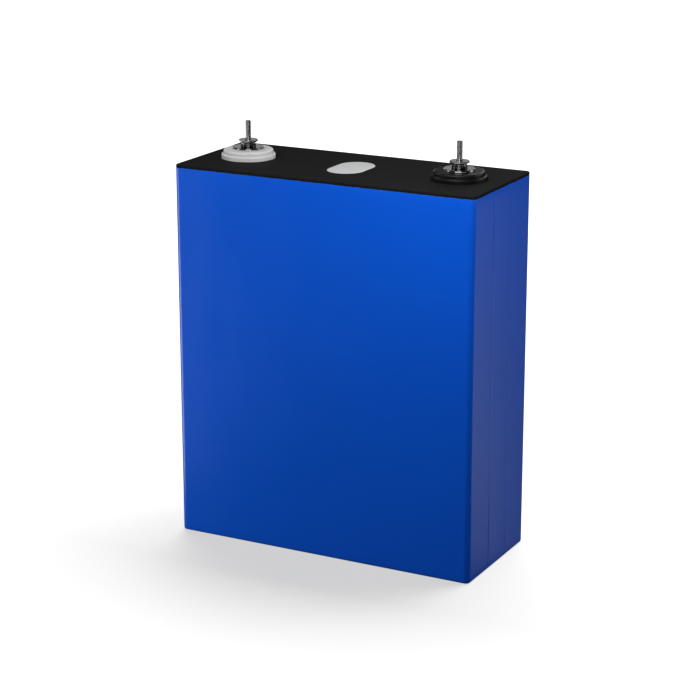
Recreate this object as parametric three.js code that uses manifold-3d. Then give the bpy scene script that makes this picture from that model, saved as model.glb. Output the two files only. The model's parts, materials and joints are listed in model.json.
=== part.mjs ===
// Prismatic lithium battery cell with two stud terminals.
// Millimetres, +Z up. The origin is the centre of the underside: X runs along the
// wide side towards the negative terminal, Y through the thickness of the cell.

import * as THREE from 'three';
import { mergeVertices } from 'three/addons/utils/BufferGeometryUtils.js';
import Module from 'manifold-3d';

const wasm = await Module();
wasm.setup();

// ---------- driving dimensions ----------

const CELL_WIDTH = 174;
const CELL_DEPTH = 71.3;
const COVER_TOP = 205.4;
const CORNER_RADIUS = 3;
const COVER_THICKNESS = 1.6;
const TERMINAL_SPACING = 124.3;
const FIT_GAP = 0.3; // between a piece and the one that it sits inside
const SEAT_GAP = 0.1; // between two pieces stacked flat on each other

// Outer wrap and aluminium can.
const FILM = 0.4;
const FILM_TOP = COVER_TOP - COVER_THICKNESS - SEAT_GAP;
const LAP_EDGES = [-10.8, 11]; // where the wrap's two ends lie over each other, along Y
const LAP_GROOVE_WIDTH = 0.3;
const LAP_GROOVE_DEPTH = 0.15;
const CAN_WALL = 0.8;
const CAN_BASE = 1.2;
const CAN_BASE_FILLET = 0.6;
const CAN_INSET = FILM + FIT_GAP;
const CAN_FLOOR = CAN_INSET + CAN_BASE;

// Lid, with everything that is set into it.
const LID_THICKNESS = 3;
const LID_TOP = COVER_TOP - COVER_THICKNESS - FIT_GAP;
const LID_BOTTOM = LID_TOP - LID_THICKNESS;
const LID_INSET = CAN_INSET + CAN_WALL + FIT_GAP;
const LID_POST_BORE = 7;
const VENT_WIDTH = 19.8;
const VENT_LENGTH = 31.8;
const VENT_LEDGE = 2.6; // the rim of the opening that carries the burst disc
const VENT_SEAT_DEPTH = 1.3;
const BURST_DISC_THICKNESS = 0.9;
const SCORE_INSET = 4.2;
const SCORE_WIDTH = 0.7;
const SCORE_DEPTH = 0.5;
const VENT_FILM_THICKNESS = 1.2;
const FILL_HOLE_X = 28;
const FILL_HOLE_RADIUS = 1.8;
const FILL_CAP_RADIUS = 4;
const FILL_CAP_THICKNESS = 0.6;
const FILL_SEAT_DEPTH = 1;

// Moulded cover and its rounded rim.
const COVER_RIM_FILLET = 0.9;

// Terminals. Heights are above the top of the cover.
const INSULATOR_RADIUS = 14.45;
const INSULATOR_STEP_HEIGHT = 2.3;
const INSULATOR_UPPER_RADIUS = 13.4;
const INSULATOR_HEIGHT = 4.6;
const INSULATOR_FILLET = 0.45;
const POST_RADIUS = 5;
const POST_FLANGE_RADIUS = 8.7;
const POST_FLANGE_THICKNESS = 1.2;
const POST_SOCKET_DEPTH = 6;
const PLATE_RADIUS = 8.4;
const PLATE_TOP = 5.8;
const STUD_RADIUS = 1.52;
const STUD_TOP = 19.8;
const STUD_CHAMFER = 0.3;
const STUD_BORE = STUD_RADIUS + FIT_GAP;
const WASHER_RADIUS = 4.15;
const WASHER_TOP = 7.25;
const NUT_FOOT_RADIUS = 3.75;
const NUT_FOOT_TOP = 7.9;
const NUT_FLANGE_RADIUS = 5.2;
const NUT_FLANGE_EDGE = 8.75;
const NUT_TOP = 9.65;
const SEAL_RADIUS = 6.7;
const SEAL_FLANGE_THICKNESS = 0.9;

// Inside the can, from the floor up.
const BAG_WALL = 0.4;
const BAG_TOP = 196.2;
const BAG_INSET = LID_INSET;
const PAD_THICKNESS = 0.8;
const ROLL_DEPTH = 33;
const ROLL_TOP = 189;
const ROLL_CORE_SLOT = 1.6;
const LOWER_INSULATOR_THICKNESS = 2;
const COLLECTOR_THICKNESS = 1;
const COLLECTOR_LENGTH = 54;
const COLLECTOR_DEPTH = 46;
const COLLECTOR_OVERHANG = 13.9; // past the post, towards the end of the cell
const COLLECTOR_CORNER = 3;
const COLLECTOR_WELD_HOLE = 3;
const TAB_THICKNESS = 1.2;
const TAB_WIDTH = 34;
const TAB_OFFSET = 21; // from the post towards the middle of the cell
const TAB_BEND = 2.4;
const TAB_REACH = 3.5; // how near the folded end comes to the cell's centre plane
const GAS_SLOT_WIDTH = 2;
const GAS_SLOT_LENGTH = 20;
const GAS_SLOT_COUNT = 4;
const GAS_SLOT_PITCH = 4;

// How finely curves are cut.
const WIDE_STEPS = 40;
const NARROW_STEPS = 24;
const CORNER_STEPS = 5;
const OBROUND_STEPS = 10;
const FILLET_STEPS = 2;

// ---------- finishes ----------

const FINISHES = {
  film: { color: 0x0c47b3, roughness: 0.42, metalness: 0 },
  cover: { color: 0x1c1c1c, roughness: 0.6, metalness: 0 },
  lightPlastic: { color: 0xbdbdba, roughness: 0.5, metalness: 0 },
  darkPlastic: { color: 0x0b0b0c, roughness: 0.3, metalness: 0 },
  innerPlastic: { color: 0x2a2a2c, roughness: 0.6, metalness: 0 },
  clearSheet: { color: 0xdfe3df, roughness: 0.4, metalness: 0 },
  ventFilm: { color: 0xb4b4b4, roughness: 0.45, metalness: 0 },
  aluminium: { color: 0xc9cbce, roughness: 0.35, metalness: 1 },
  copper: { color: 0xc27a4e, roughness: 0.35, metalness: 1 },
  steel: { color: 0x8e8e90, roughness: 0.25, metalness: 1 },
  darkSteel: { color: 0x4a4a4c, roughness: 0.35, metalness: 1 },
  rubber: { color: 0x161616, roughness: 0.8, metalness: 0 },
  roll: { color: 0x4b4d50, roughness: 0.7, metalness: 0.1 },
};

// ---------- helpers ----------

function namedMesh(name, geometry, finish) {
  const mesh = new THREE.Mesh(geometry, new THREE.MeshStandardMaterial(FINISHES[finish]));
  mesh.name = name;
  return mesh;
}

// A closed geometry as a solid that can be joined and cut.
function toSolid(geometry) {
  const bare = geometry.clone();
  bare.deleteAttribute('normal');
  bare.deleteAttribute('uv');
  const merged = mergeVertices(bare, 1e-5);
  const corners = merged.index.array;
  const triangles = [];
  for (let i = 0; i < corners.length; i += 3) {
    const [a, b, c] = [corners[i], corners[i + 1], corners[i + 2]];
    if (a !== b && b !== c && c !== a) triangles.push(a, b, c);
  }
  return new wasm.Manifold(new wasm.Mesh({
    numProp: 3,
    vertProperties: new Float32Array(merged.attributes.position.array),
    triVerts: new Uint32Array(triangles),
  }));
}

function toGeometry(solid) {
  const mesh = solid.getMesh();
  const geometry = new THREE.BufferGeometry();
  geometry.setAttribute('position', new THREE.BufferAttribute(mesh.vertProperties, 3));
  geometry.setIndex(new THREE.BufferAttribute(mesh.triVerts, 1));
  geometry.computeVertexNormals();
  return geometry;
}

// The first geometry with all the others cut away from it.
function cutAway(body, ...tools) {
  return toGeometry(tools.reduce((solid, tool) => solid.subtract(toSolid(tool)), toSolid(body)));
}

function roundedRectangle(width, depth, radius) {
  const [x, y] = [width / 2, depth / 2];
  const shape = new THREE.Shape();
  shape.moveTo(x, radius - y);
  shape.lineTo(x, y - radius);
  shape.absarc(x - radius, y - radius, radius, 0, Math.PI / 2);
  shape.lineTo(radius - x, y);
  shape.absarc(radius - x, y - radius, radius, Math.PI / 2, Math.PI);
  shape.lineTo(-x, radius - y);
  shape.absarc(radius - x, radius - y, radius, Math.PI, Math.PI * 1.5);
  shape.lineTo(x - radius, -y);
  shape.absarc(x - radius, radius - y, radius, Math.PI * 1.5, Math.PI * 2);
  return shape;
}

// A slot outline with round ends, its long axis along Y.
function obround(width, length) {
  const radius = width / 2;
  const straight = length / 2 - radius;
  const shape = new THREE.Shape();
  shape.moveTo(radius, -straight);
  shape.lineTo(radius, straight);
  shape.absarc(0, straight, radius, 0, Math.PI);
  shape.lineTo(-radius, -straight);
  shape.absarc(0, -straight, radius, Math.PI, Math.PI * 2);
  return shape;
}

// An outline raised from one height to another.
function prism(shape, bottom, top, curveSegments = CORNER_STEPS) {
  const geometry = new THREE.ExtrudeGeometry(shape, {
    depth: top - bottom,
    bevelEnabled: false,
    curveSegments,
  });
  return geometry.translate(0, 0, bottom);
}

// The same, with the edge all round its top or its bottom rounded off.
function roundedPrism(shape, bottom, top, fillet, roundedEnd) {
  const margin = fillet * 4; // the far end's rounding lies in here and is cut off
  const low = roundedEnd === 'top' ? bottom - margin : bottom;
  const high = roundedEnd === 'top' ? top : top + margin;
  const geometry = new THREE.ExtrudeGeometry(shape, {
    depth: high - low - 2 * fillet,
    bevelThickness: fillet,
    bevelSize: fillet,
    bevelOffset: -fillet,
    bevelSegments: FILLET_STEPS,
    curveSegments: CORNER_STEPS,
  }).translate(0, 0, low + fillet);
  const keep = new THREE.BoxGeometry(CELL_WIDTH * 2, CELL_DEPTH * 2, top - bottom);
  keep.translate(0, 0, (top + bottom) / 2);
  return toGeometry(toSolid(geometry).intersect(toSolid(keep)));
}

// A rectangular plan inset from the outside of the cell, with corners to match.
function insetPlan(inset) {
  const radius = Math.max(CORNER_RADIUS - inset, 0.8);
  return roundedRectangle(CELL_WIDTH - 2 * inset, CELL_DEPTH - 2 * inset, radius);
}

// Rounds each corner [x, y, fillet] of an outline that is given a fillet radius.
function filletCorners(corners, closed) {
  const rounded = [];
  corners.forEach(([x, y, fillet], i) => {
    const corner = new THREE.Vector2(x, y);
    const inside = closed || (i > 0 && i < corners.length - 1);
    if (!fillet || !inside) {
      rounded.push(corner);
      return;
    }
    const before = new THREE.Vector2(...corners.at(i - 1)).sub(corner).normalize();
    const after = new THREE.Vector2(...corners[(i + 1) % corners.length]).sub(corner).normalize();
    const halfAngle = Math.acos(before.dot(after)) / 2;
    const reach = fillet / Math.tan(halfAngle);
    const towardsCentre = before.clone().add(after).normalize();
    const centre = corner.clone().addScaledVector(towardsCentre, fillet / Math.sin(halfAngle));
    const start = corner.clone().addScaledVector(before, reach).sub(centre);
    const end = corner.clone().addScaledVector(after, reach).sub(centre);
    const sweep = Math.atan2(start.cross(end), start.dot(end));
    for (let step = 0; step <= FILLET_STEPS; step += 1) {
      const turned = start.clone().rotateAround(new THREE.Vector2(), (sweep * step) / FILLET_STEPS);
      rounded.push(turned.add(centre));
    }
  });
  return rounded;
}

// A round piece turned about Z. Its corners are [radius, height, fillet], listed
// anticlockwise, and the outline closes on itself unless it starts on the axis.
function turned(corners, steps = WIDE_STEPS) {
  const closed = corners[0][0] > 0;
  const outline = filletCorners(corners, closed);
  if (closed) outline.push(outline[0].clone());
  return new THREE.LatheGeometry(outline, steps).rotateX(Math.PI / 2);
}

function disc(radius, bottom, top, x = 0, steps = WIDE_STEPS) {
  const geometry = turned([[0, bottom], [radius, bottom], [radius, top], [0, top]], steps);
  return geometry.translate(x, 0, 0);
}

// ---------- outside of the cell ----------

// The blue wrap: one sheet round the can, its two ends lapped on the narrow +X side.
function wrapFilm() {
  const sheet = prism(insetPlan(0), 0, FILM_TOP);
  const hollow = prism(insetPlan(FILM), -1, FILM_TOP + 1);
  const grooves = LAP_EDGES.map((y) => {
    const groove = new THREE.BoxGeometry(2 * LAP_GROOVE_DEPTH, LAP_GROOVE_WIDTH, FILM_TOP + 2);
    return groove.translate(CELL_WIDTH / 2, y, FILM_TOP / 2);
  });
  return namedMesh('wrap_film', cutAway(sheet, hollow, ...grooves), 'film');
}

function bottomFilm() {
  return namedMesh('bottom_film', prism(insetPlan(FILM + FIT_GAP), 0, FILM), 'film');
}

// The moulded cover over the lid, open round both insulators and the vent.
function topCover() {
  const bottom = COVER_TOP - COVER_THICKNESS;
  const sheet = roundedPrism(insetPlan(0), bottom, COVER_TOP, COVER_RIM_FILLET, 'top');
  const openings = [-1, 1].map((side) => disc(
    INSULATOR_RADIUS + FIT_GAP, bottom - 1, COVER_TOP + 1, (side * TERMINAL_SPACING) / 2,
  ));
  const ventOutline = obround(VENT_WIDTH + 2 * FIT_GAP, VENT_LENGTH + 2 * FIT_GAP);
  const ventOpening = prism(ventOutline, bottom - 1, COVER_TOP + 1, OBROUND_STEPS);
  return namedMesh('top_cover', cutAway(sheet, ...openings, ventOpening), 'cover');
}

function ventFilm() {
  const outline = obround(VENT_WIDTH, VENT_LENGTH);
  const patch = prism(outline, COVER_TOP - VENT_FILM_THICKNESS, COVER_TOP, OBROUND_STEPS);
  return namedMesh('vent_film', patch, 'ventFilm');
}

// ---------- can and lid ----------

function can() {
  const outside = roundedPrism(insetPlan(CAN_INSET), CAN_INSET, LID_TOP, CAN_BASE_FILLET, 'bottom');
  const inside = prism(insetPlan(CAN_INSET + CAN_WALL), CAN_FLOOR, LID_TOP + 1);
  return namedMesh('can', cutAway(outside, inside), 'aluminium');
}

function lid() {
  const plate = prism(insetPlan(LID_INSET), LID_BOTTOM, LID_TOP);
  const postBores = [-1, 1].map((side) => disc(
    LID_POST_BORE, LID_BOTTOM - 1, LID_TOP + 1, (side * TERMINAL_SPACING) / 2,
  ));
  const ventSeat = prism(
    obround(VENT_WIDTH + 2 * FIT_GAP, VENT_LENGTH + 2 * FIT_GAP),
    LID_TOP - VENT_SEAT_DEPTH, LID_TOP + 1, OBROUND_STEPS,
  );
  const ventOpening = prism(
    obround(VENT_WIDTH - 2 * VENT_LEDGE, VENT_LENGTH - 2 * VENT_LEDGE),
    LID_BOTTOM - 1, LID_TOP + 1, OBROUND_STEPS,
  );
  const fillHole = disc(FILL_HOLE_RADIUS, LID_BOTTOM - 1, LID_TOP + 1, FILL_HOLE_X, NARROW_STEPS);
  const fillSeat = disc(
    FILL_CAP_RADIUS + FIT_GAP, LID_TOP - FILL_SEAT_DEPTH, LID_TOP + 1, FILL_HOLE_X, NARROW_STEPS,
  );
  const cut = cutAway(plate, ...postBores, ventSeat, ventOpening, fillHole, fillSeat);
  return namedMesh('lid', cut, 'aluminium');
}

// The safety vent: a thin disc with a scored oval that tears open under pressure.
function ventBurstDisc() {
  const bottom = LID_TOP - VENT_SEAT_DEPTH + SEAT_GAP;
  const top = bottom + BURST_DISC_THICKNESS;
  const plate = prism(obround(VENT_WIDTH, VENT_LENGTH), bottom, top, OBROUND_STEPS);
  const score = obround(VENT_WIDTH - 2 * SCORE_INSET, VENT_LENGTH - 2 * SCORE_INSET);
  const scoreInset = 2 * (SCORE_INSET + SCORE_WIDTH);
  score.holes.push(obround(VENT_WIDTH - scoreInset, VENT_LENGTH - scoreInset));
  const groove = prism(score, top - SCORE_DEPTH, top + 1, OBROUND_STEPS);
  return namedMesh('vent_burst_disc', cutAway(plate, groove), 'aluminium');
}

function fillPlug() {
  const top = LID_TOP - FILL_SEAT_DEPTH - SEAT_GAP;
  const radius = FILL_HOLE_RADIUS - FIT_GAP;
  const tip = radius * 0.7;
  const body = turned(
    [[0, LID_BOTTOM], [tip, LID_BOTTOM], [radius, LID_BOTTOM + tip], [radius, top], [0, top]],
    NARROW_STEPS,
  ).translate(FILL_HOLE_X, 0, 0);
  return namedMesh('fill_plug', body, 'rubber');
}

function fillCap() {
  const bottom = LID_TOP - FILL_SEAT_DEPTH + SEAT_GAP;
  const body = disc(FILL_CAP_RADIUS, bottom, bottom + FILL_CAP_THICKNESS, FILL_HOLE_X, NARROW_STEPS);
  return namedMesh('fill_cap', body, 'aluminium');
}

// ---------- terminals ----------

// Heights inside a terminal's group are above the cover, so these sit below zero.
const LID_TOP_LOCAL = LID_TOP - COVER_TOP;
const LID_BOTTOM_LOCAL = LID_BOTTOM - COVER_TOP;
const SEAL_BOTTOM = LID_BOTTOM_LOCAL - FIT_GAP - SEAL_FLANGE_THICKNESS;
const FLANGE_TOP = SEAL_BOTTOM - SEAT_GAP;
const FLANGE_BOTTOM = FLANGE_TOP - POST_FLANGE_THICKNESS;
const COLLECTOR_TOP = FLANGE_BOTTOM - FIT_GAP;
const COLLECTOR_BOTTOM = COLLECTOR_TOP - COLLECTOR_THICKNESS;
const POST_TOP = INSULATOR_HEIGHT - FIT_GAP;

// The stepped plastic ring that keeps the terminal clear of the cover and lid.
function upperInsulator(pole, finish) {
  const base = LID_TOP_LOCAL + FIT_GAP;
  const bore = POST_RADIUS + FIT_GAP;
  return namedMesh(`${pole}_upper_insulator`, turned([
    [bore, base],
    [INSULATOR_RADIUS, base],
    [INSULATOR_RADIUS, INSULATOR_STEP_HEIGHT, INSULATOR_FILLET],
    [INSULATOR_UPPER_RADIUS, INSULATOR_STEP_HEIGHT],
    [INSULATOR_UPPER_RADIUS, INSULATOR_HEIGHT, INSULATOR_FILLET],
    [bore, INSULATOR_HEIGHT],
  ]), finish);
}

// The seal between post and lid: a sleeve in the lid's bore with a flange under it.
function sealRing(pole) {
  const bore = POST_RADIUS + FIT_GAP;
  const shoulder = SEAL_BOTTOM + SEAL_FLANGE_THICKNESS;
  return namedMesh(`${pole}_seal_ring`, turned([
    [bore, SEAL_BOTTOM],
    [POST_FLANGE_RADIUS, SEAL_BOTTOM],
    [POST_FLANGE_RADIUS, shoulder],
    [SEAL_RADIUS, shoulder],
    [SEAL_RADIUS, LID_TOP_LOCAL],
    [bore, LID_TOP_LOCAL],
  ], NARROW_STEPS), 'rubber');
}

// The conductor through the lid, with a wide foot below and the stud's socket on top.
function post(pole, finish) {
  const socketFloor = POST_TOP - POST_SOCKET_DEPTH;
  return namedMesh(`${pole}_post`, turned([
    [0, FLANGE_BOTTOM],
    [POST_FLANGE_RADIUS, FLANGE_BOTTOM],
    [POST_FLANGE_RADIUS, FLANGE_TOP],
    [POST_RADIUS, FLANGE_TOP],
    [POST_RADIUS, POST_TOP],
    [STUD_BORE, POST_TOP],
    [STUD_BORE, socketFloor],
    [0, socketFloor],
  ], NARROW_STEPS), finish);
}

function terminalPlate(pole) {
  const bottom = INSULATOR_HEIGHT + SEAT_GAP;
  return namedMesh(`${pole}_terminal_plate`, turned([
    [STUD_BORE, bottom],
    [PLATE_RADIUS, bottom],
    [PLATE_RADIUS, PLATE_TOP, INSULATOR_FILLET],
    [STUD_BORE, PLATE_TOP],
  ]), 'steel');
}

function stud(pole) {
  const bottom = POST_TOP - POST_SOCKET_DEPTH + FIT_GAP;
  return namedMesh(`${pole}_stud`, turned([
    [0, bottom],
    [STUD_RADIUS - STUD_CHAMFER, bottom],
    [STUD_RADIUS, bottom + STUD_CHAMFER],
    [STUD_RADIUS, STUD_TOP - STUD_CHAMFER],
    [STUD_RADIUS - STUD_CHAMFER, STUD_TOP],
    [0, STUD_TOP],
  ], NARROW_STEPS), 'steel');
}

// A thick washer, rounded where its wall meets its upper face.
function washer(pole) {
  const bottom = PLATE_TOP + SEAT_GAP;
  const lowerFillet = 0.15;
  const upperFillet = 0.4;
  return namedMesh(`${pole}_plain_washer`, turned([
    [STUD_BORE, bottom],
    [WASHER_RADIUS, bottom, lowerFillet],
    [WASHER_RADIUS, WASHER_TOP, upperFillet],
    [STUD_BORE, WASHER_TOP],
  ], NARROW_STEPS), 'darkSteel');
}

// A round thumb nut: a narrow foot that flares out above to a wide rim for the fingers.
function nut(pole) {
  const bottom = WASHER_TOP + SEAT_GAP;
  const rimFillet = 0.2;
  return namedMesh(`${pole}_nut`, turned([
    [STUD_BORE, bottom],
    [NUT_FOOT_RADIUS, bottom],
    [NUT_FOOT_RADIUS, NUT_FOOT_TOP],
    [NUT_FLANGE_RADIUS, NUT_FLANGE_EDGE, rimFillet],
    [NUT_FLANGE_RADIUS, NUT_TOP, rimFillet],
    [STUD_BORE, NUT_TOP],
  ], NARROW_STEPS), 'steel');
}

// The plate under the lid that joins both rolls' tabs to the post.
function collector(pole, side, finish) {
  const plan = roundedRectangle(COLLECTOR_LENGTH, COLLECTOR_DEPTH, COLLECTOR_CORNER);
  const middle = side * (COLLECTOR_OVERHANG - COLLECTOR_LENGTH / 2);
  const plate = prism(plan, COLLECTOR_BOTTOM, COLLECTOR_TOP).translate(middle, 0, 0);
  const weldHole = disc(COLLECTOR_WELD_HOLE, COLLECTOR_BOTTOM - 1, COLLECTOR_TOP + 1);
  return namedMesh(`${pole}_collector`, cutAway(plate, weldHole), finish);
}

// A stack of foils from the top of one roll, folded in under the collector.
function tab(pole, side, face, finish) {
  const rise = face.sign * (ROLL_DEPTH / 2 + FIT_GAP / 2);
  const inward = -face.sign;
  const low = ROLL_TOP - COVER_TOP + FIT_GAP;
  const high = COLLECTOR_BOTTOM - FIT_GAP - TAB_THICKNESS / 2;
  const half = TAB_THICKNESS / 2;
  const innerBend = TAB_BEND - half;
  const outerBend = TAB_BEND + half;
  const end = face.sign * TAB_REACH;
  const bendStart = high - TAB_BEND;
  const section = new THREE.Shape();
  const outward = (distance) => rise + face.sign * distance;
  section.moveTo(outward(half), low);
  section.lineTo(outward(half), bendStart);
  const centre = rise + inward * TAB_BEND;
  const facesFront = face.sign < 0;
  const [startAngle, endAngle] = facesFront ? [Math.PI, Math.PI / 2] : [0, Math.PI / 2];
  section.absarc(centre, bendStart, outerBend, startAngle, endAngle, facesFront);
  section.lineTo(end, high + half);
  section.lineTo(end, high - half);
  section.absarc(centre, bendStart, innerBend, endAngle, startAngle, !facesFront);
  section.lineTo(outward(-half), low);
  // The section is drawn in Y and Z, so the extrusion is turned to run along X.
  const strip = prism(section, -TAB_WIDTH / 2, TAB_WIDTH / 2)
    .rotateX(Math.PI / 2)
    .rotateZ(Math.PI / 2)
    .translate(-side * TAB_OFFSET, 0, 0);
  return namedMesh(`${pole}_tab_${face.name}`, strip, finish);
}

const FACES = [
  { name: 'front', sign: -1 },
  { name: 'back', sign: 1 },
];

const TERMINALS = [
  { pole: 'positive', side: -1, insulator: 'lightPlastic', conductor: 'aluminium' },
  { pole: 'negative', side: 1, insulator: 'darkPlastic', conductor: 'copper' },
];

function terminal({ pole, side, insulator, conductor }) {
  const group = new THREE.Group();
  group.add(
    upperInsulator(pole, insulator),
    sealRing(pole),
    post(pole, conductor),
    terminalPlate(pole),
    stud(pole),
    washer(pole),
    nut(pole),
    collector(pole, side, conductor),
    ...FACES.map((face) => tab(pole, side, face, conductor)),
  );
  group.position.set((side * TERMINAL_SPACING) / 2, 0, COVER_TOP);
  return group;
}

// ---------- inside the can ----------

const BAG_BOTTOM = CAN_FLOOR + FIT_GAP;
const PAD_BOTTOM = BAG_BOTTOM + BAG_WALL + FIT_GAP;
const ROLL_BOTTOM = PAD_BOTTOM + PAD_THICKNESS + FIT_GAP;
const CORE_INSET = BAG_INSET + BAG_WALL + FIT_GAP;
const ROLL_WIDTH = CELL_WIDTH - 2 * CORE_INSET;

function insulationBag() {
  const outside = prism(insetPlan(BAG_INSET), BAG_BOTTOM, BAG_TOP);
  const inside = prism(insetPlan(BAG_INSET + BAG_WALL), BAG_BOTTOM + BAG_WALL, BAG_TOP + 1);
  return namedMesh('insulation_bag', cutAway(outside, inside), 'clearSheet');
}

function bottomPad() {
  const plate = prism(insetPlan(CORE_INSET), PAD_BOTTOM, PAD_BOTTOM + PAD_THICKNESS);
  return namedMesh('bottom_pad', plate, 'innerPlastic');
}

// A flat-wound roll of coated foils, its winding axis upright, open along its core.
function jellyRoll(face) {
  const outline = obround(ROLL_DEPTH, ROLL_WIDTH);
  outline.holes.push(obround(ROLL_CORE_SLOT, ROLL_WIDTH - ROLL_DEPTH));
  const body = prism(outline, ROLL_BOTTOM, ROLL_TOP, OBROUND_STEPS).rotateZ(Math.PI / 2);
  const mesh = namedMesh(`jelly_roll_${face.name}`, body, 'roll');
  mesh.position.y = face.sign * (ROLL_DEPTH / 2 + FIT_GAP / 2);
  return mesh;
}

// The plastic plate under the lid, open round the posts, the vent and the fill hole.
function lowerInsulator() {
  const top = LID_BOTTOM - FIT_GAP;
  const bottom = top - LOWER_INSULATOR_THICKNESS;
  const plate = prism(insetPlan(LID_INSET), bottom, top);
  const postBores = [-1, 1].map((side) => disc(
    POST_FLANGE_RADIUS + FIT_GAP, bottom - 1, top + 1, (side * TERMINAL_SPACING) / 2,
  ));
  const gasSlots = Array.from({ length: GAS_SLOT_COUNT }, (_, i) => {
    const x = (i - (GAS_SLOT_COUNT - 1) / 2) * GAS_SLOT_PITCH;
    return prism(obround(GAS_SLOT_WIDTH, GAS_SLOT_LENGTH), bottom - 1, top + 1).translate(x, 0, 0);
  });
  const fillHole = disc(FILL_HOLE_RADIUS, bottom - 1, top + 1, FILL_HOLE_X, NARROW_STEPS);
  const cut = cutAway(plate, ...postBores, ...gasSlots, fillHole);
  return namedMesh('lower_insulator', cut, 'innerPlastic');
}

// ---------- the whole cell ----------

const cell = new THREE.Group();
cell.add(
  wrapFilm(),
  bottomFilm(),
  topCover(),
  ventFilm(),
  can(),
  lid(),
  ventBurstDisc(),
  fillPlug(),
  fillCap(),
  lowerInsulator(),
  insulationBag(),
  bottomPad(),
  ...FACES.map(jellyRoll),
  ...TERMINALS.map(terminal),
);

export default cell;
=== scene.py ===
"""A prismatic lithium battery cell in a blue wrap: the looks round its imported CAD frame.

Metres, +Z up. Every outer shell, ring and fastener is rebuilt here with its real
edges, on the bodies of the CAD model; the pieces inside the can keep their CAD shape.
"""
import json
import math

import bpy
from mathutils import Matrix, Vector
from mathutils.geometry import tessellate_polygon


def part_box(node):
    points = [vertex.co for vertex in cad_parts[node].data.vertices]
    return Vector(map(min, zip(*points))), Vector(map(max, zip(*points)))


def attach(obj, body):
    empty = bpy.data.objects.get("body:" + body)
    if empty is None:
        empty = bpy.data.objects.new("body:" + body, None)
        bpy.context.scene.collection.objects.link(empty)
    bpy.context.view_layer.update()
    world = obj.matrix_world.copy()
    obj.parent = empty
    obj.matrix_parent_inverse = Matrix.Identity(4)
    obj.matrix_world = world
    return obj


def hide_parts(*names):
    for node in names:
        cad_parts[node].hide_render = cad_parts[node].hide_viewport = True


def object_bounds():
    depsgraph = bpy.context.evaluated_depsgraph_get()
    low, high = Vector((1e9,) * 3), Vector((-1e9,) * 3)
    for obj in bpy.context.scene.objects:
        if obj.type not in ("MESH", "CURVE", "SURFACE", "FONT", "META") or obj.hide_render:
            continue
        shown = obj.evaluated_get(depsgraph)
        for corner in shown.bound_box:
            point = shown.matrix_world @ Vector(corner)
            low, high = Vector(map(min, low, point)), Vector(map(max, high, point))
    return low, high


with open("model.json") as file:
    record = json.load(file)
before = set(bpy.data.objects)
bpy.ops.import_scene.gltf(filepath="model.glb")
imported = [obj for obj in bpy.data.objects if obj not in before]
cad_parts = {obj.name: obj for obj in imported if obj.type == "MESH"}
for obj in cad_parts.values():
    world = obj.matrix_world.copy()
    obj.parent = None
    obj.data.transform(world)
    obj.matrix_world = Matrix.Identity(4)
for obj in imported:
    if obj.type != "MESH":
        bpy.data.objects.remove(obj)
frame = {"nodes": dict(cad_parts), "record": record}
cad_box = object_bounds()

MM = 0.001
ROOT = "cell"
POLES = ("positive", "negative")

# ---------- sizes read from the frame ----------

WRAP_LOW, WRAP_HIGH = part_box("wrap_film")
COVER_LOW, COVER_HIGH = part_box("top_cover")
COVER_TOP = COVER_HIGH.z
HALF_WIDTH = WRAP_HIGH.x
HALF_DEPTH = WRAP_HIGH.y
CORNER_RADIUS = 3 * MM

# How finely round stretches are cut.
ROUND_STEPS = 128
CORNER_STEPS = 20
FILLET_STEPS = 8
SUPPORT = 0.12 * MM  # how far from a rounded edge a flat's own shading starts
SUPPORT_ROOM = 0.45  # the part of a flat that a rounded edge and its support may take
LEAST_CORNER_RADIUS = 0.3 * MM

# The two ends of the wrap meet in a lap on the +X side, between these places along Y.
LAP_EDGES = (-10.8 * MM, 11 * MM)
LAP_STEP = 0.05 * MM  # the second layer of film stands this much prouder
LAP_DENT = 0.1 * MM  # how deep the crease along each edge is
LAP_SPREAD = 0.34 * MM  # how wide it is
LAP_SAMPLES = (-3, -2, -1.4, -0.9, -0.5, 0, 0.5, 0.9, 1.4, 2, 3)  # in spreads from an edge


# ---------- mesh helpers ----------

def add_mesh(name, points, faces, material, place=(0, 0, 0), sharp_angle=40):
    """A new smooth-shaded mesh object whose edges above sharp_angle degrees stay crisp."""
    mesh = bpy.data.meshes.new(name)
    mesh.from_pydata([tuple(p) for p in points], [], faces)
    mesh.validate()
    mesh.polygons.foreach_set("use_smooth", [True] * len(mesh.polygons))
    mesh.set_sharp_from_angle(angle=math.radians(sharp_angle))
    mesh.materials.append(material)
    piece = bpy.data.objects.new(name, mesh)
    piece.location = place
    bpy.context.scene.collection.objects.link(piece)
    return piece


def stand_for(piece, body, slot, *nodes):
    """The piece rides on a body and replaces CAD nodes. Its slot is not used."""
    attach(piece, body)
    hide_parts(*nodes)
    return piece


def arc(centre, radius, start, end, steps):
    """Points on an arc between two angles in radians, both ends included."""
    angles = [start + (end - start) * i / steps for i in range(steps + 1)]
    return [(centre[0] + radius * math.cos(a), centre[1] + radius * math.sin(a)) for a in angles]


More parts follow.
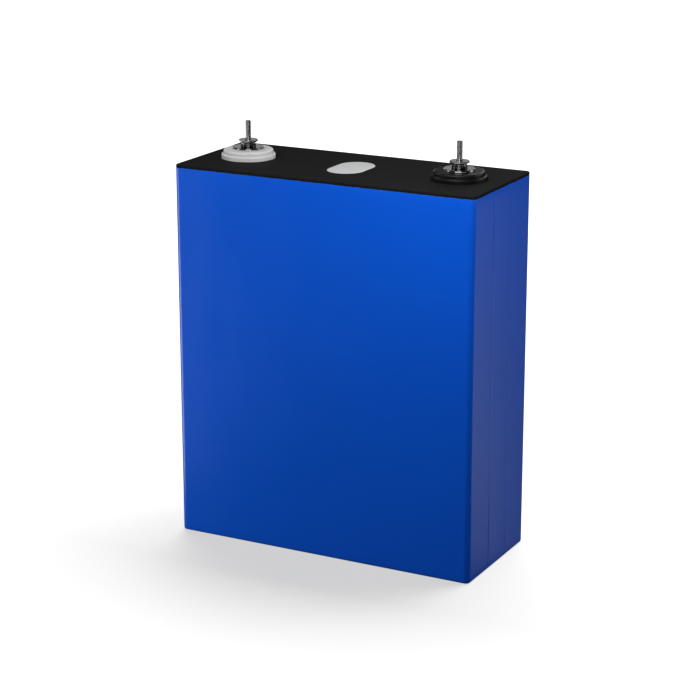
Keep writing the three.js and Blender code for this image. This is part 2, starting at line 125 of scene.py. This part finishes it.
def fillet(corners, steps=FILLET_STEPS):
    """Rounds the corners (x, y, radius) of a closed outline and supports its flats."""
    outline = []
    count = len(corners)
    for i, (x, y, radius) in enumerate(corners):
        here = Vector((x, y))
        before = Vector(corners[i - 1][:2]) - here
        after = Vector(corners[(i + 1) % count][:2]) - here
        room_before, room_after = before.length, after.length
        before.normalize()
        after.normalize()
        if radius <= 0:
            outline.append((x, y))
            continue
        half = before.angle(after) / 2
        reach = radius / math.tan(half)
        centre = here + (before + after).normalized() * (radius / math.sin(half))
        start = here + before * reach - centre
        end = here + after * reach - centre
        turn = math.atan2(start.cross(end), start.dot(end))
        if reach + SUPPORT < room_before * SUPPORT_ROOM:
            outline.append(tuple(here + before * (reach + SUPPORT)))
        for step in range(steps + 1):
            a = turn * step / steps
            spoke = Vector((
                start.x * math.cos(a) - start.y * math.sin(a),
                start.x * math.sin(a) + start.y * math.cos(a),
            ))
            outline.append(tuple(centre + spoke))
        if reach + SUPPORT < room_after * SUPPORT_ROOM:
            outline.append(tuple(here + after * (reach + SUPPORT)))
    return outline


def ring_faces(rows, columns, closed_rows=True):
    """Quads over a grid of rows of points, each row running all the way round."""
    faces = []
    last = rows if closed_rows else rows - 1
    for r in range(last):
        low, high = r * columns, ((r + 1) % rows) * columns
        for c in range(columns):
            following = (c + 1) % columns
            faces.append((low + c, low + following, high + following, high + c))
    return faces


def turned(name, profile, material, place, steps=ROUND_STEPS):
    """A ring turned about Z from a closed outline of (radius, height), anticlockwise."""
    points = []
    for radius, height in profile:
        for c in range(steps):
            a = 2 * math.pi * c / steps
            points.append((radius * math.cos(a), radius * math.sin(a), height))
    return add_mesh(name, points, ring_faces(len(profile), steps), material, place)


def lap_dent(y):
    """How far the wrap lies below the face at a place y across its lapped side."""
    outside = LAP_STEP if y < LAP_EDGES[0] or y > LAP_EDGES[1] else 0
    nearest = min(abs(y - edge) for edge in LAP_EDGES)
    return outside + LAP_DENT * math.exp(-(nearest / LAP_SPREAD) ** 2)


def plan(inset, lapped=False):
    """The cell's rounded outline from above, anticlockwise, inset by a distance."""
    x, y = HALF_WIDTH - inset, HALF_DEPTH - inset
    radius = max(CORNER_RADIUS - inset, LEAST_CORNER_RADIUS)
    quarter = math.pi / 2
    corner = [
        arc((x - radius, y - radius), radius, 0, quarter, CORNER_STEPS),
        arc((radius - x, y - radius), radius, quarter, 2 * quarter, CORNER_STEPS),
        arc((radius - x, radius - y), radius, 2 * quarter, 3 * quarter, CORNER_STEPS),
        arc((x - radius, radius - y), radius, 3 * quarter, 4 * quarter, CORNER_STEPS),
    ]
    outline = []
    for i, bend in enumerate(corner):
        outline += bend
        start, end = Vector(bend[-1]), Vector(corner[(i + 1) % 4][0])
        run = (end - start).length
        sides = [SUPPORT / run * 4, 0.1, 0.3, 0.5, 0.7, 0.9, 1 - SUPPORT / run * 4]
        if i == 3:
            flat = HALF_DEPTH - CORNER_RADIUS
            sides = sorted(sides + [
                (edge + offset * LAP_SPREAD + flat) / (2 * flat)
                for edge in LAP_EDGES for offset in LAP_SAMPLES
            ])
        outline += [tuple(start.lerp(end, t)) for t in sides]
    if lapped:
        outline = [
            (px - lap_dent(py), py) if px > x - 0.01 * MM else (px, py) for px, py in outline
        ]
    return outline


def circle(x, y, radius, steps=96):
    return [(x + px, y + py) for px, py in arc((0, 0), radius, 0, 2 * math.pi, steps)[:-1]]


def obround(width, length, steps=32):
    """A slot outline with round ends, its long axis along Y, anticlockwise."""
    radius, straight = width / 2, (length - width) / 2
    top = arc((0, straight), radius, 0, math.pi, steps)
    bottom = arc((0, -straight), radius, math.pi, 2 * math.pi, steps)
    return top + bottom


# ---------- node helpers ----------

RING_SPACING = 0.314  # between a wave texture's rings at scale 1


class Look:
    """A material in the making: a principled shader, and nodes that feed it."""

    def __init__(self, name, color, roughness, metallic=0.0, **settings):
        self.material = bpy.data.materials.new(name)
        self.material.use_nodes = True
        self.tree = self.material.node_tree
        self.shader = self.tree.nodes["Principled BSDF"]
        self.color = color
        self.shader.inputs["Base Color"].default_value = (*color, 1)
        self.shader.inputs["Roughness"].default_value = roughness
        self.shader.inputs["Metallic"].default_value = metallic
        for key, value in settings.items():
            self.shader.inputs[key.replace("_", " ")].default_value = value
        self.bump_chain = None

    def node(self, kind, **values):
        made = self.tree.nodes.new(kind)
        for key, value in values.items():
            if key in made.inputs:
                made.inputs[key].default_value = value
            else:
                setattr(made, key, value)
        return made

    def link(self, output, target):
        self.tree.links.new(output, target)
        return target

    def place(self, scale=(1, 1, 1)):
        """Object coordinates in metres, stretched by a scale."""
        coordinates = self.node("ShaderNodeTexCoord")
        mapping = self.node("ShaderNodeMapping")
        mapping.inputs["Scale"].default_value = scale
        self.link(coordinates.outputs["Object"], mapping.inputs["Vector"])
        return mapping.outputs["Vector"]

    def noise(self, scale, detail=3, roughness=0.5, stretch=(1, 1, 1)):
        made = self.node("ShaderNodeTexNoise", Scale=scale, Detail=detail, Roughness=roughness)
        self.link(self.place(stretch), made.inputs["Vector"])
        return made.outputs["Fac"]

    def ramp(self, value, low, high, to_low, to_high):
        made = self.node("ShaderNodeMapRange")
        for key, number in zip(("From Min", "From Max", "To Min", "To Max"),
                               (low, high, to_low, to_high)):
            made.inputs[key].default_value = number
        self.link(value, made.inputs["Value"])
        return made.outputs["Result"]

    def blend(self, factor, low, high):
        """A colour between two, by a factor from 0 to 1."""
        made = self.node("ShaderNodeMix", data_type="RGBA")
        made.inputs["A"].default_value = (*low, 1)
        made.inputs["B"].default_value = (*high, 1)
        self.link(factor, made.inputs["Factor"])
        return made.outputs["Result"]

    def vary_color(self, value, amount, low=0.3, high=0.7):
        """Darkens and lightens the base colour by a part of itself."""
        darker = tuple(c * (1 - amount) for c in self.color)
        lighter = tuple(min(c * (1 + amount), 1) for c in self.color)
        factor = self.ramp(value, low, high, 0, 1)
        self.link(self.blend(factor, darker, lighter), self.shader.inputs["Base Color"])

    def vary_roughness(self, value, rough_low, rough_high, low=0.3, high=0.7):
        result = self.ramp(value, low, high, rough_low, rough_high)
        self.link(result, self.shader.inputs["Roughness"])

    def bump(self, height, distance, strength=1.0):
        """Adds a bump of a height in metres to those before it."""
        made = self.node("ShaderNodeBump", Strength=strength, Distance=distance)
        self.link(height, made.inputs["Height"])
        if self.bump_chain is not None:
            self.link(self.bump_chain, made.inputs["Normal"])
        self.bump_chain = made.outputs["Normal"]
        self.link(self.bump_chain, self.shader.inputs["Normal"])

    def rings(self, spacing):
        """Fine turning marks about the object's Z axis, as a value from 0 to 1."""
        made = self.node("ShaderNodeTexWave", wave_type="RINGS", rings_direction="Z",
                         Scale=RING_SPACING / spacing, Distortion=0, Detail=2)
        self.link(self.place(), made.inputs["Vector"])
        return made.outputs["Fac"]


# ---------- materials ----------

def wrap_look():
    look = Look("wrap_blue", (0.002, 0.098, 0.70), 0.24, Coat_Weight=0.12, Coat_Roughness=0.22)
    look.vary_color(look.noise(14, detail=4), 0.03)
    look.vary_roughness(look.noise(60, detail=5, stretch=(1, 1, 0.25)), 0.22, 0.27)
    look.bump(look.noise(900, detail=2), 0.004 * MM, 0.5)
    look.bump(look.noise(22, detail=1), 0.06 * MM, 0.25)
    return look.material


def cover_look():
    look = Look("cover_black", (0.0095, 0.0095, 0.0096), 0.8, Specular_IOR_Level=0.04)
    look.vary_color(look.noise(60, detail=5), 0.05)
    look.vary_roughness(look.noise(900, detail=3), 0.76, 0.86)
    look.bump(look.noise(3200, detail=2), 0.006 * MM, 0.5)
    return look.material


def vent_look():
    look = Look("vent_grey", (0.575, 0.575, 0.575), 0.42, Subsurface_Weight=0.05)
    look.vary_color(look.noise(160, detail=4), 0.025)
    look.vary_roughness(look.noise(700, detail=2), 0.38, 0.5)
    look.bump(look.noise(1500, detail=2), 0.006 * MM, 0.5)
    return look.material


def light_plastic_look():
    look = Look("insulator_light", (0.57, 0.57, 0.57), 0.6, Specular_IOR_Level=0.3)
    look.vary_color(look.noise(120, detail=4), 0.025)
    look.vary_roughness(look.noise(800, detail=3), 0.55, 0.66)
    look.bump(look.noise(2200, detail=2), 0.004 * MM, 0.5)
    return look.material


def dark_plastic_look():
    look = Look("insulator_dark", (0.004, 0.004, 0.0042), 0.34, Specular_IOR_Level=0.15)
    look.vary_color(look.noise(200, detail=4), 0.15)
    look.vary_roughness(look.noise(800, detail=3), 0.3, 0.38)
    look.bump(look.noise(1800, detail=2), 0.002 * MM, 0.5)
    return look.material


def turned_metal_look(name, color, rough_low, rough_high, spacing):
    """Metal off a lathe: fine rings about the stud, with faint handling marks."""
    look = Look(name, color, rough_low, metallic=1.0)
    look.vary_color(look.noise(300, detail=4), 0.06)
    look.vary_roughness(look.noise(900, detail=4), rough_low, rough_high)
    look.bump(look.rings(spacing), 0.0004 * MM, 0.5)
    look.bump(look.noise(1400, detail=3), 0.0006 * MM, 0.35)
    return look.material


def sheet_metal_look(name, color, roughness, grain):
    """Rolled sheet: a grain drawn out along one axis, and cloudy patches."""
    look = Look(name, color, roughness, metallic=1.0)
    look.vary_color(look.noise(35, detail=4), 0.05)
    look.vary_roughness(look.noise(500, detail=3, stretch=grain), roughness - 0.06, roughness + 0.1)
    look.bump(look.noise(900, detail=3, stretch=grain), 0.006 * MM, 0.5)
    return look.material


def plain_plastic_look(name, color, roughness):
    look = Look(name, color, roughness)
    look.vary_color(look.noise(90, detail=4), 0.06)
    look.vary_roughness(look.noise(600, detail=3), roughness - 0.06, roughness + 0.08)
    look.bump(look.noise(1500, detail=2), 0.012 * MM, 0.5)
    return look.material


def foil_roll_look():
    """The edges of hundreds of wound foils, as fine upright bands and dark coating."""
    look = Look("coated_foil", (0.06, 0.062, 0.066), 0.6, metallic=0.2)
    look.vary_color(look.noise(900, detail=3, stretch=(0.02, 1, 0.02)), 0.35)
    look.vary_roughness(look.noise(300, detail=3), 0.5, 0.7)
    look.bump(look.noise(1200, detail=2, stretch=(0.02, 1, 0.02)), 0.02 * MM, 0.5)
    return look.material


LOOKS = {
    "blue_film": wrap_look(),
    "black_cover": cover_look(),
    "vent_film": vent_look(),
    "light_insulator": light_plastic_look(),
    "dark_insulator": dark_plastic_look(),
    "steel": turned_metal_look("steel_turned", (0.56, 0.56, 0.565), 0.06, 0.11, 0.09 * MM),
    # The washer's steel is darker than the nut's as painted shade: it stands in for the dark band
    # between plate and nut, where the wall mirrors the black cover.
    "dark_steel": turned_metal_look("steel_darkened_for_shade", (0.13, 0.13, 0.132), 0.12, 0.18, 0.12 * MM),
    "aluminium": sheet_metal_look("aluminium_rolled", (0.72, 0.73, 0.74), 0.3, (1, 1, 0.04)),
    "copper": sheet_metal_look("copper_rolled", (0.72, 0.34, 0.2), 0.3, (0.04, 1, 1)),
    "inner_plastic": plain_plastic_look("inner_plastic", (0.02, 0.02, 0.022), 0.5),
    "clear_sheet": plain_plastic_look("bag_sheet", (0.66, 0.69, 0.67), 0.4),
    "black_rubber": plain_plastic_look("rubber_black", (0.012, 0.012, 0.012), 0.75),
    "coated_foil": foil_roll_look(),
}


# ---------- wrap, cover and vent ----------

FILM = 0.4 * MM
FOLD_RADIUS = 1.1 * MM
FOLD_STEPS = 10
FILM_EDGE_STEPS = 4
WRAP_LEVELS = (0.02, 0.25, 0.5, 0.75, 0.98)  # parts of the wrap's height


def loft(name, section, material, lapped=False):
    """A closed shell whose cross-section (inset, height) runs round the cell's outline."""
    points = []
    columns = 0
    for inset, height in section:
        outline = plan(inset, lapped)
        columns = len(outline)
        points += [(x, y, height) for x, y in outline]
    return add_mesh(name, points, ring_faces(len(section), columns), material)


def wrap():
    top = WRAP_HIGH.z
    fold = arc((FOLD_RADIUS, WRAP_LOW.z + FOLD_RADIUS), FOLD_RADIUS, 1.5 * math.pi, math.pi,
               FOLD_STEPS)
    outside = [(0, top * part) for part in WRAP_LEVELS]
    edge = arc((FILM / 4, top - FILM / 4), FILM / 4, math.pi, 0.5 * math.pi, FILM_EDGE_STEPS)
    section = fold + outside + edge + [(FILM, top), (FILM, FILM), (FOLD_RADIUS, FILM)]
    piece = loft("wrap_film_fine", section, LOOKS["blue_film"], lapped=True)
    stand_for(piece, ROOT, "blue_film", "wrap_film")


wrap()


def sheet_with_openings(name, outlines, levels, material):
    """A flat sheet between two heights. Each outline is a function of a distance that
    it is drawn back from the sheet's edge; levels give (distance, height) round it."""
    points, faces = [], []
    for outline in outlines:
        start = len(points)
        rows = [outline(back) for back, _ in levels]
        columns = len(rows[0])
        for row, (_, height) in zip(rows, levels):
            points += [(x, y, height) for x, y in row]
        for face in ring_faces(len(levels), columns, closed_rows=False):
            faces.append(tuple(start + i for i in face))
    loops_bottom, loops_top, tops, bottoms = [], [], [], []
    start = 0
    for outline in outlines:
        columns = len(outline(0))
        bottoms += list(range(start, start + columns))
        high = start + (len(levels) - 1) * columns
        tops += list(range(high, high + columns))
        loops_bottom.append([Vector(points[i]) for i in range(start, start + columns)])
        loops_top.append([Vector(points[i]) for i in range(high, high + columns)])
        start += len(levels) * columns
    for loops, index, up in ((loops_top, tops, True), (loops_bottom, bottoms, False)):
        for a, b, c in tessellate_polygon(loops):
            face = (index[a], index[b], index[c])
            (x0, y0, _), (x1, y1, _), (x2, y2, _) = (points[i] for i in face)
            facing_up = (x1 - x0) * (y2 - y0) - (y1 - y0) * (x2 - x0) > 0
            faces.append(face if facing_up == up else face[::-1])
    return add_mesh(name, points, faces, material)


COVER_RIM = 0.45 * MM
COVER_RIM_STEPS = 10
VENT_RIM = 0.25 * MM
VENT_RIM_STEPS = 5
COVER_LIP = 0.2 * MM
COVER_CLEARANCE = 0.12 * MM
VENT_LOW, VENT_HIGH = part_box("vent_film")
VENT_SIZE = (VENT_HIGH.x - VENT_LOW.x, VENT_HIGH.y - VENT_LOW.y)
INSULATOR_BOX = {pole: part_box(f"{pole}_upper_insulator") for pole in POLES}
TERMINAL = {
    pole: Vector(((low.x + high.x) / 2, (low.y + high.y) / 2, COVER_TOP))
    for pole, (low, high) in INSULATOR_BOX.items()
}
INSULATOR_RADIUS = (INSULATOR_BOX["positive"][1].x - INSULATOR_BOX["positive"][0].x) / 2


def rim_levels(bottom, top, radius, steps):
    """(distance back, height) up a sheet's edge: its foot, and a quarter round on top."""
    quarter = arc((radius, top - radius), radius, math.pi, 0.5 * math.pi, steps)
    foot = [(0.4 * MM, bottom), (0.1 * MM, bottom), (0, bottom + 0.1 * MM)]
    return foot + quarter + [(radius + SUPPORT, top)]


def cover():
    levels = rim_levels(COVER_LOW.z, COVER_TOP, COVER_RIM, COVER_RIM_STEPS)
    hole = INSULATOR_RADIUS + COVER_CLEARANCE
    lip = COVER_LIP / COVER_RIM
    outlines = [lambda back: plan(back)]
    for pole in POLES:
        x, y = TERMINAL[pole].x, TERMINAL[pole].y
        outlines.append(lambda back, x=x, y=y: circle(x, y, hole + back * lip)[::-1])
    width, length = VENT_SIZE
    gap = 2 * COVER_CLEARANCE
    outlines.append(
        lambda back: obround(width + gap + 2 * back * lip, length + gap + 2 * back * lip)[::-1]
    )
    piece = sheet_with_openings("top_cover_fine", outlines, levels, LOOKS["black_cover"])
    stand_for(piece, ROOT, "black_cover", "top_cover")


def vent():
    width, length = VENT_SIZE
    levels = rim_levels(VENT_LOW.z, VENT_HIGH.z, VENT_RIM, VENT_RIM_STEPS)
    outline = lambda back: obround(width - 2 * back, length - 2 * back)
    piece = sheet_with_openings("vent_film_fine", [outline], levels, LOOKS["vent_film"])
    stand_for(piece, ROOT, "vent_film", "vent_film")


cover()
vent()


BOTTOM_FILM_GAP = 0.32 * MM  # between the wrap's inside and the bottom film's edge


def underside():
    """The film folded in under the can: one sheet with softened edges."""
    low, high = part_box("bottom_film")
    inset = FILM + BOTTOM_FILM_GAP
    levels = [(0.3 * MM, low.z), (0.08 * MM, low.z), (0, low.z + 0.08 * MM), (0, high.z)]
    outline = lambda back: plan(inset + back)
    piece = sheet_with_openings("bottom_film_fine", [outline], levels, LOOKS["blue_film"])
    stand_for(piece, ROOT, "blue_film", "bottom_film")


underside()


# ---------- terminals ----------

def local_box(pole, part):
    """Lowest and highest height and outer radius of a terminal's ring, above the cover."""
    low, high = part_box(f"{pole}_{part}")
    return low.z - COVER_TOP, high.z - COVER_TOP, (high.x - low.x) / 2


# Heights are above the cover.
STUD_BORE = 1.82 * MM
INSULATOR_STEP = 2.3 * MM
INSULATOR_UPPER_RADIUS = 13.4 * MM
INSULATOR_BORE = 5.3 * MM
NUT_FOOT_RADIUS = 3.75 * MM
NUT_FOOT_TOP = 7.9 * MM
NUT_RIM_LOW = 8.75 * MM
THREAD_PITCH = 0.5 * MM
THREAD_DEPTH = 0.05 * MM
THREAD_ROWS_A_TURN = 14
THREAD_CREST = 0.66  # parts of the pitch
THREAD_FLANK = 0.12
STUD_ROUND_STEPS = 40
TIP_CHAMFER = 0.3 * MM


def insulator(pole, slot):
    low, high, radius = local_box(pole, "upper_insulator")
    profile = fillet([
        (INSULATOR_BORE, low, 0),
        (radius, low, 0.1 * MM),
        (radius, INSULATOR_STEP, 0.75 * MM),
        (INSULATOR_UPPER_RADIUS, INSULATOR_STEP, 0.25 * MM),
        (INSULATOR_UPPER_RADIUS, high, 1.1 * MM),
        (INSULATOR_BORE, high, 0.2 * MM),
    ])
    name = f"{pole}_upper_insulator"
    piece = turned(f"{name}_fine", profile, LOOKS[slot], TERMINAL[pole])
    stand_for(piece, ROOT, slot, name)


def plate(pole):
    low, high, radius = local_box(pole, "terminal_plate")
    profile = fillet([
        (STUD_BORE, low, 0),
        (radius, low, 0.1 * MM),
        (radius, high, 0.65 * MM),
        (STUD_BORE, high, 0.1 * MM),
    ])
    name = f"{pole}_terminal_plate"
    piece = turned(f"{name}_fine", profile, LOOKS["steel"], TERMINAL[pole])
    return stand_for(piece, ROOT, "steel", name)


def washer(pole):
    low, high, radius = local_box(pole, "plain_washer")
    profile = fillet([
        (STUD_BORE, low, 0.1 * MM),
        (radius, low, 0.15 * MM),
        (radius, high, 0.4 * MM),
        (STUD_BORE, high, 0.1 * MM),
    ])
    name = f"{pole}_plain_washer"
    # The washer takes the darker steel, painted shade for the band between plate and nut.
    piece = turned(f"{name}_fine", profile, LOOKS["dark_steel"], TERMINAL[pole])
    return stand_for(piece, f"{pole}_washer", "dark_steel", name)


def nut(pole):
    low, high, radius = local_box(pole, "nut")
    profile = fillet([
        (STUD_BORE, low, 0.15 * MM),
        (NUT_FOOT_RADIUS, low, 0.12 * MM),
        (NUT_FOOT_RADIUS, NUT_FOOT_TOP, 0.4 * MM),
        (radius, NUT_RIM_LOW, 0.2 * MM),
        (radius, high, 0.2 * MM),
        (STUD_BORE, high, 0.2 * MM),
    ])
    name = f"{pole}_nut"
    piece = turned(f"{name}_fine", profile, LOOKS["steel"], TERMINAL[pole])
    return stand_for(piece, f"{pole}_thumb_nut", "steel", name)


def thread_depth(turns):
    """How deep the thread is cut, from 0 on its crest to 1 in its root."""
    phase = turns % 1
    if phase < THREAD_CREST:
        return 0
    if phase < THREAD_CREST + THREAD_FLANK:
        return (phase - THREAD_CREST) / THREAD_FLANK
    if phase < 1 - THREAD_FLANK:
        return 1
    return (1 - phase) / THREAD_FLANK


def stud(pole):
    """A threaded rod: rows of points up the stud, cut back by the thread's depth."""
    low, high, radius = local_box(pole, "stud")
    spacing = THREAD_PITCH / THREAD_ROWS_A_TURN
    rows = int((high - low) / spacing)
    points = []
    for r in range(rows + 1):
        height = low + (high - low) * r / rows
        from_tip = min(high - height, height - low)
        chamfer = radius - max(TIP_CHAMFER - from_tip, 0)
        for c in range(STUD_ROUND_STEPS):
            part = c / STUD_ROUND_STEPS
            depth = thread_depth(height / THREAD_PITCH - part) * THREAD_DEPTH
            reach = min(radius - depth, chamfer)
            a = 2 * math.pi * part
            points.append((reach * math.cos(a), reach * math.sin(a), height))
    faces = ring_faces(rows + 1, STUD_ROUND_STEPS, closed_rows=False)
    first = list(range(STUD_ROUND_STEPS))
    last = [rows * STUD_ROUND_STEPS + i for i in first]
    faces += [tuple(first[::-1]), tuple(last)]
    name = f"{pole}_stud"
    piece = add_mesh(f"{name}_fine", points, faces, LOOKS["steel"], TERMINAL[pole], 25)
    return stand_for(piece, ROOT, "steel", name)


HARDWARE = []
for pole, slot in zip(POLES, ("light_insulator", "dark_insulator")):
    insulator(pole, slot)
    HARDWARE += [plate(pole), washer(pole), nut(pole), stud(pole)]


# ---------- the pieces inside keep their CAD shape ----------

SLOT_OF = {row["node"]: row["material_slot"] for row in frame["record"]["subparts"]}
for name, node in frame["nodes"].items():
    node.data.materials.clear()
    node.data.materials.append(LOOKS[SLOT_OF[name]])


# ---------- floor, light and camera ----------

FLOOR_SIZE = 12
FLOOR_GLOW = (0.62, 1.15)  # near the part, and far from it
FLOOR_GLOW_RANGE = (0.3, 1.2)
AZIMUTH = math.radians(27.54)
ELEVATION = math.radians(16.46)
LENS = 110.7
SENSOR = 36
DISTANCE = 1.1531
AIM_OFFSET = Vector((0.0002, -0.0019, -0.0062))  # from the middle of the part's box
BODY_CENTRE = Vector((0, 0, 0.11))
TERMINAL_CENTRE = Vector((0, 0, COVER_TOP + 8 * MM))

# The overhead lamp lights only the floor. Its place and size come from a fit to the
# photo's floor shadow, as the camera's numbers above come from a fit to its edges.
OVERHEAD_PLACE = Vector((0.009, 0.412, 1.129))
OVERHEAD_SIZE = (1.146, 0.546)
OVERHEAD_POWER = 108
SKY_STRENGTH = 0.02

# Each lamp: name, azimuth from the camera's, elevation, distance, size, power. The floor
# casts no shadow, so a lamp may stand below it.
# The softboxes light all but the floor and the terminals' plates, washers, nuts and
# studs. Most of their places were chosen by least-squares fits to the photo; most of
# their powers started there too and were then set.
SOFTBOXES = (
    ("key_top", 0, 62, 0.32, (0.15, 0.15), 0.4),
    ("key_front", 0, 35, 0.32, (0.15, 0.15), 0.18),
    ("key_right", 30, 35, 0.32, (0.15, 0.15), 0.1),
    ("key_left", -60, 45, 1.3, (0.55, 0.55), 4),
    ("side_left", -90, 10, 0.32, (0.15, 0.15), 0.18),
    ("low_left", -90, -15, 0.32, (0.15, 0.15), 0.24),
    ("side_right", 90, 22, 0.55, (0.3, 0.3), 0.8),
    ("low_right", 90, -15, 0.32, (0.15, 0.15), 0.03),
    ("gloss_right", 112, -16, 0.48, (0.12, 0.28), 0.034),
    ("gloss_back", 120, -10, 0.55, (0.3, 0.3), 0.004),
    ("back_left", -120, 40, 0.55, (0.3, 0.3), 0.5),
    ("back_right", 150, 40, 0.55, (0.3, 0.3), 0.5),
    ("back_low", 180, -8, 1.3, (0.55, 0.55), 4),
)
# These light only those plates, washers, nuts and studs. They were set from how
# bright the studs are in the photo.
HARDWARE_LAMPS = (
    ("metal_front", -5, 23, 0.5, (0.36, 0.22), 0.8),
    ("metal_left", -87, 23, 0.5, (0.14, 0.2), 0.26),
    ("metal_right", 96, 23, 0.5, (0.14, 0.2), 0.2),
    ("metal_back", 180, 16, 0.5, (0.84, 0.21), 0.15),
    ("metal_low_back", 205, -15, 0.5, (0.7, 0.16), 0.3),
    ("metal_low_front", 30, -15, 0.5, (0.7, 0.13), 0.05),
    ("metal_low_left", -40, -15, 0.5, (0.58, 0.13), 0.105),
    ("metal_low_side", -110, -15, 0.5, (0.58, 0.13), 0.24),
    ("metal_low_right", 110, -15, 0.5, (0.84, 0.13), 0.062),
)


def floor():
    """A dark floor that glows towards white. The overhead lamp adds the rest near the
    part, so that only its soft shadow is grey."""
    half = FLOOR_SIZE / 2
    points = [(-half, -half, 0), (half, -half, 0), (half, half, 0), (-half, half, 0)]
    look = Look("studio_floor", (0.1, 0.1, 0.1), 0.9, Specular_IOR_Level=0.0)
    look.vary_color(look.noise(3, detail=2), 0.004)
    look.shader.inputs["Emission Color"].default_value = (1, 1, 1, 1)
    spread = look.node("ShaderNodeVectorMath", operation="LENGTH")
    look.link(look.place(), spread.inputs[0])
    glow = look.ramp(spread.outputs["Value"], *FLOOR_GLOW_RANGE, *FLOOR_GLOW)
    look.link(glow, look.shader.inputs["Emission Strength"])
    surface = add_mesh("studio_floor", points, [(0, 1, 2, 3)], look.material)
    surface.location.z = cad_box[0].z - 0.05 * MM
    surface.visible_glossy = False
    surface.visible_diffuse = False
    surface.visible_shadow = False
    return surface


def area_light(name, place, aim, size, power):
    data = bpy.data.lights.new(name, "AREA")
    data.shape = "RECTANGLE"
    data.size, data.size_y = size
    data.energy = power
    lamp = bpy.data.objects.new(name, data)
    lamp.location = place
    lamp.rotation_mode = "QUATERNION"
    lamp.rotation_quaternion = (Vector(aim) - Vector(place)).to_track_quat("-Z", "Y")
    bpy.context.scene.collection.objects.link(lamp)
    return lamp


def shine_on(lamp, pieces, only=True):
    """A lamp lights either nothing but some pieces, or everything but them."""
    receivers = bpy.data.collections.new(f"{lamp.name}_receivers")
    for piece in pieces:
        receivers.objects.link(piece)
    if not only:
        for link in receivers.collection_objects:
            link.light_linking.link_state = "EXCLUDE"
    lamp.light_linking.receiver_collection = receivers


def softbox(name, centre, azimuth, elevation, distance, size, power):
    """A softbox that faces a centre. Azimuth is counted from the camera's,
    anticlockwise from above, in degrees."""
    turn, rise = AZIMUTH + math.radians(azimuth), math.radians(elevation)
    way = Vector((
        math.sin(turn) * math.cos(rise),
        -math.cos(turn) * math.cos(rise),
        math.sin(rise),
    ))
    return area_light(name, centre + way * distance, centre, size, power)


def studio():
    ground = floor()
    below = Vector((OVERHEAD_PLACE.x, OVERHEAD_PLACE.y, 0))
    overhead = area_light("overhead", OVERHEAD_PLACE, below, OVERHEAD_SIZE, OVERHEAD_POWER)
    shine_on(overhead, [ground])
    for name, *numbers in SOFTBOXES:
        shine_on(softbox(name, BODY_CENTRE, *numbers), [ground, *HARDWARE], only=False)
    for name, *numbers in HARDWARE_LAMPS:
        shine_on(softbox(name, TERMINAL_CENTRE, *numbers), HARDWARE)


def sky():
    """The studio's dim surround."""
    world = bpy.data.worlds.new("studio")
    bpy.context.scene.world = world
    world.use_nodes = True
    background = world.node_tree.nodes["Background"]
    background.inputs["Color"].default_value = (1, 1, 1, 1)
    background.inputs["Strength"].default_value = SKY_STRENGTH


def camera():
    low, high = cad_box
    target = (low + high) / 2 + AIM_OFFSET
    back = Vector((
        math.sin(AZIMUTH) * math.cos(ELEVATION),
        -math.cos(AZIMUTH) * math.cos(ELEVATION),
        math.sin(ELEVATION),
    ))
    data = bpy.data.cameras.new("camera")
    data.lens = LENS
    data.sensor_width = SENSOR
    data.clip_start, data.clip_end = 0.05, 50
    body = bpy.data.objects.new("camera", data)
    body.location = target + back * DISTANCE
    body.rotation_mode = "QUATERNION"
    body.rotation_quaternion = (-back).to_track_quat("-Z", "Y")
    bpy.context.scene.collection.objects.link(body)
    bpy.context.scene.camera = body


studio()
sky()
camera()
bpy.context.scene.view_settings.view_transform = "Standard"
